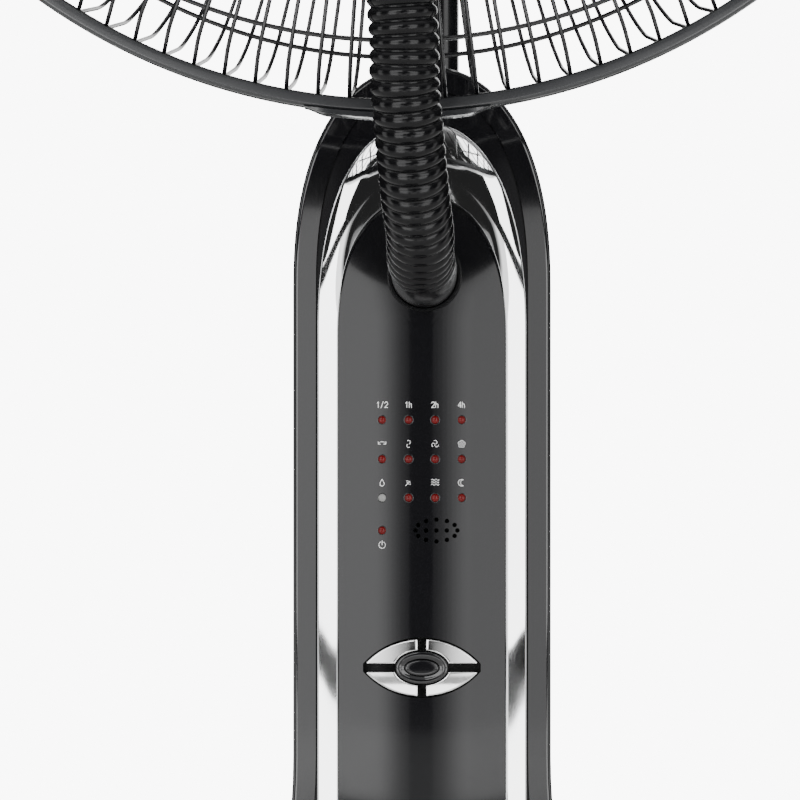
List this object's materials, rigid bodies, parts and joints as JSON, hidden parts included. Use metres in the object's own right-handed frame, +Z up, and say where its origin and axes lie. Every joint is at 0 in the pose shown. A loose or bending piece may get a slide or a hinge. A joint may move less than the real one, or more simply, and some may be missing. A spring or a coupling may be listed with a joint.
{
  "type": "misting pedestal fan",
  "caption": "Pedestal fan with a wire guard, a control column and a water tank; a corrugated hose carries mist to the middle of the guard.",
  "frame": {"origin": "on the floor, under the axis of the pole", "axes": "+Z up along the pole, -Y out of the front of the fan and the control panel, +X to the right seen from the front"},
  "size_m": [0.4439, 0.4005, 1.296],
  "materials": {
    "black_gloss": "glossy",
    "black_matte": "fine matt",
    "chrome": "bright chrome plating",
    "keys": "satin chrome plating",
    "lens_red": "clear red lens",
    "lens_clear": "clear lens",
    "steel_black": "gloss black enamel",
    "band": "gloss dark grey",
    "steel": "plain steel",
    "aluminium": "cast",
    "brass": "sintered bronze and brass",
    "iron": "rough",
    "winding": "varnished windings and laminations",
    "rubber": "matt",
    "hose": "semi-gloss corrugated",
    "pcb": "solder mask",
    "white_plastic": "natural",
    "tank": "smoky clear",
    "blade": "smoky grey"
  },
  "bodies": {
    "stand": {"base_shell": "black_gloss", "base_bottom": "black_matte", "base_weight": "iron", "rubber_feet": "rubber", "pole": "steel_black", "pole_flange": "steel_black", "tank_housing": "black_gloss", "column_front": "black_gloss", "column_rear": "black_gloss", "chrome_trim": "chrome", "control_panel": "black_gloss", "led_lenses": "lens_red", "power_lens": "lens_clear", "key_surround": "black_gloss", "control_board": "pcb", "buzzer": "black_matte", "hose_cuff": "black_matte", "mist_duct": "white_plastic", "mist_chamber": "white_plastic", "water_basin": "white_plastic", "ultrasonic_disc": "brass", "blower_housing": "black_matte", "power_board": "pcb", "cord_inlet": "rubber", "neck_socket": "black_gloss", "tilt_pin": "steel", "screws": "steel", "mist_hose": "hose"},
    "off_key": {"off_key": "black_gloss"},
    "key_top_left": {"key_top_left": "keys"},
    "key_top_right": {"key_top_right": "keys"},
    "key_bottom_left": {"key_bottom_left": "keys"},
    "key_bottom_right": {"key_bottom_right": "keys"},
    "tank": {"water_tank": "tank", "tank_cap": "black_matte", "tank_handle": "black_matte"},
    "float": {"float": "white_plastic"},
    "impeller": {"blower_impeller": "black_matte"},
    "knob": {"tilt_knob": "black_matte"},
    "neck": {"neck_block": "aluminium"},
    "head": {"motor_bracket": "aluminium", "motor_stator": "winding", "end_shields": "aluminium", "bearings": "brass", "gearbox": "aluminium", "motor_cover": "black_gloss", "guard_nut": "black_matte", "rear_guard": "steel_black", "front_guard": "steel_black", "guard_ring": "band", "ring_clamp": "black_matte", "front_badge": "black_gloss", "mist_nozzle": "black_matte"},
    "rotor": {"motor_rotor": "steel", "fan_blade": "blade", "spinner_nut": "black_matte"},
    "crank": {"crank_disc": "steel"},
    "link": {"crank_link": "steel"},
    "clutch": {"oscillation_knob": "black_matte"}
  },
  "joints": [
    {"name": "press_off", "type": "slide", "parent": "stand", "child": "off_key", "axis": [0, 1, 0], "range_m": [0, 0.001], "stiffness_N_per_m": 600, "springref_m": -0.0006},
    {"name": "press_top_left", "type": "slide", "parent": "stand", "child": "key_top_left", "axis": [0, 1, 0], "range_m": [0, 0.001], "stiffness_N_per_m": 600, "springref_m": -0.0006},
    {"name": "press_top_right", "type": "slide", "parent": "stand", "child": "key_top_right", "axis": [0, 1, 0], "range_m": [0, 0.001], "stiffness_N_per_m": 600, "springref_m": -0.0006},
    {"name": "press_bottom_left", "type": "slide", "parent": "stand", "child": "key_bottom_left", "axis": [0, 1, 0], "range_m": [0, 0.001], "stiffness_N_per_m": 600, "springref_m": -0.0006},
    {"name": "press_bottom_right", "type": "slide", "parent": "stand", "child": "key_bottom_right", "axis": [0, 1, 0], "range_m": [0, 0.001], "stiffness_N_per_m": 600, "springref_m": -0.0006},
    {"name": "tank_lift", "type": "slide", "parent": "stand", "child": "tank", "axis": [0, 0, 1], "range_m": [0, 0.27]},
    {"name": "float_rise", "type": "slide", "parent": "stand", "child": "float", "axis": [0, 0, 1], "range_m": [0, 0.006]},
    {"name": "blower_spin", "type": "hinge", "parent": "stand", "child": "impeller", "pos_m": [0.062, -0.05, 0.09], "axis": [0, 0, 1], "continuous": true},
    {"name": "tilt_knob_turn", "type": "hinge", "parent": "stand", "child": "knob", "pos_m": [0.027, 0, 0.992], "axis": [1, 0, 0], "range_deg": [-180, 180]},
    {"name": "tilt", "type": "hinge", "parent": "stand", "child": "neck", "pos_m": [0, 0, 0.992], "axis": [-1, 0, 0], "range_deg": [0, 12], "deforming": ["mist_hose"]},
    {"name": "swing", "type": "hinge", "parent": "neck", "child": "head", "pos_m": [0, 0, 1.022], "axis": [0, 0, 1], "range_deg": [-30, 30], "deforming": ["mist_hose"]},
    {"name": "blade_spin", "type": "hinge", "parent": "head", "child": "rotor", "pos_m": [-0.008, 0, 1.074], "axis": [0, 1, 0], "continuous": true},
    {"name": "crank_spin", "type": "hinge", "parent": "head", "child": "crank", "pos_m": [-0.008, 0.042, 1.032], "axis": [0, 0, 1], "continuous": true},
    {"name": "link_turn", "type": "hinge", "parent": "crank", "child": "link", "pos_m": [-0.008, 0.034, 1.027], "axis": [0, 0, 1], "continuous": true},
    {"name": "clutch_pull", "type": "slide", "parent": "head", "child": "clutch", "axis": [0, 0, 1], "range_m": [0, 0.008]}
  ],
  "couplings": [
    {"joint": "crank_spin", "follows": "blade_spin", "ratio": 0.005},
    {"joint": "link_turn", "follows": "blade_spin", "ratio": -0.005}
  ]
}
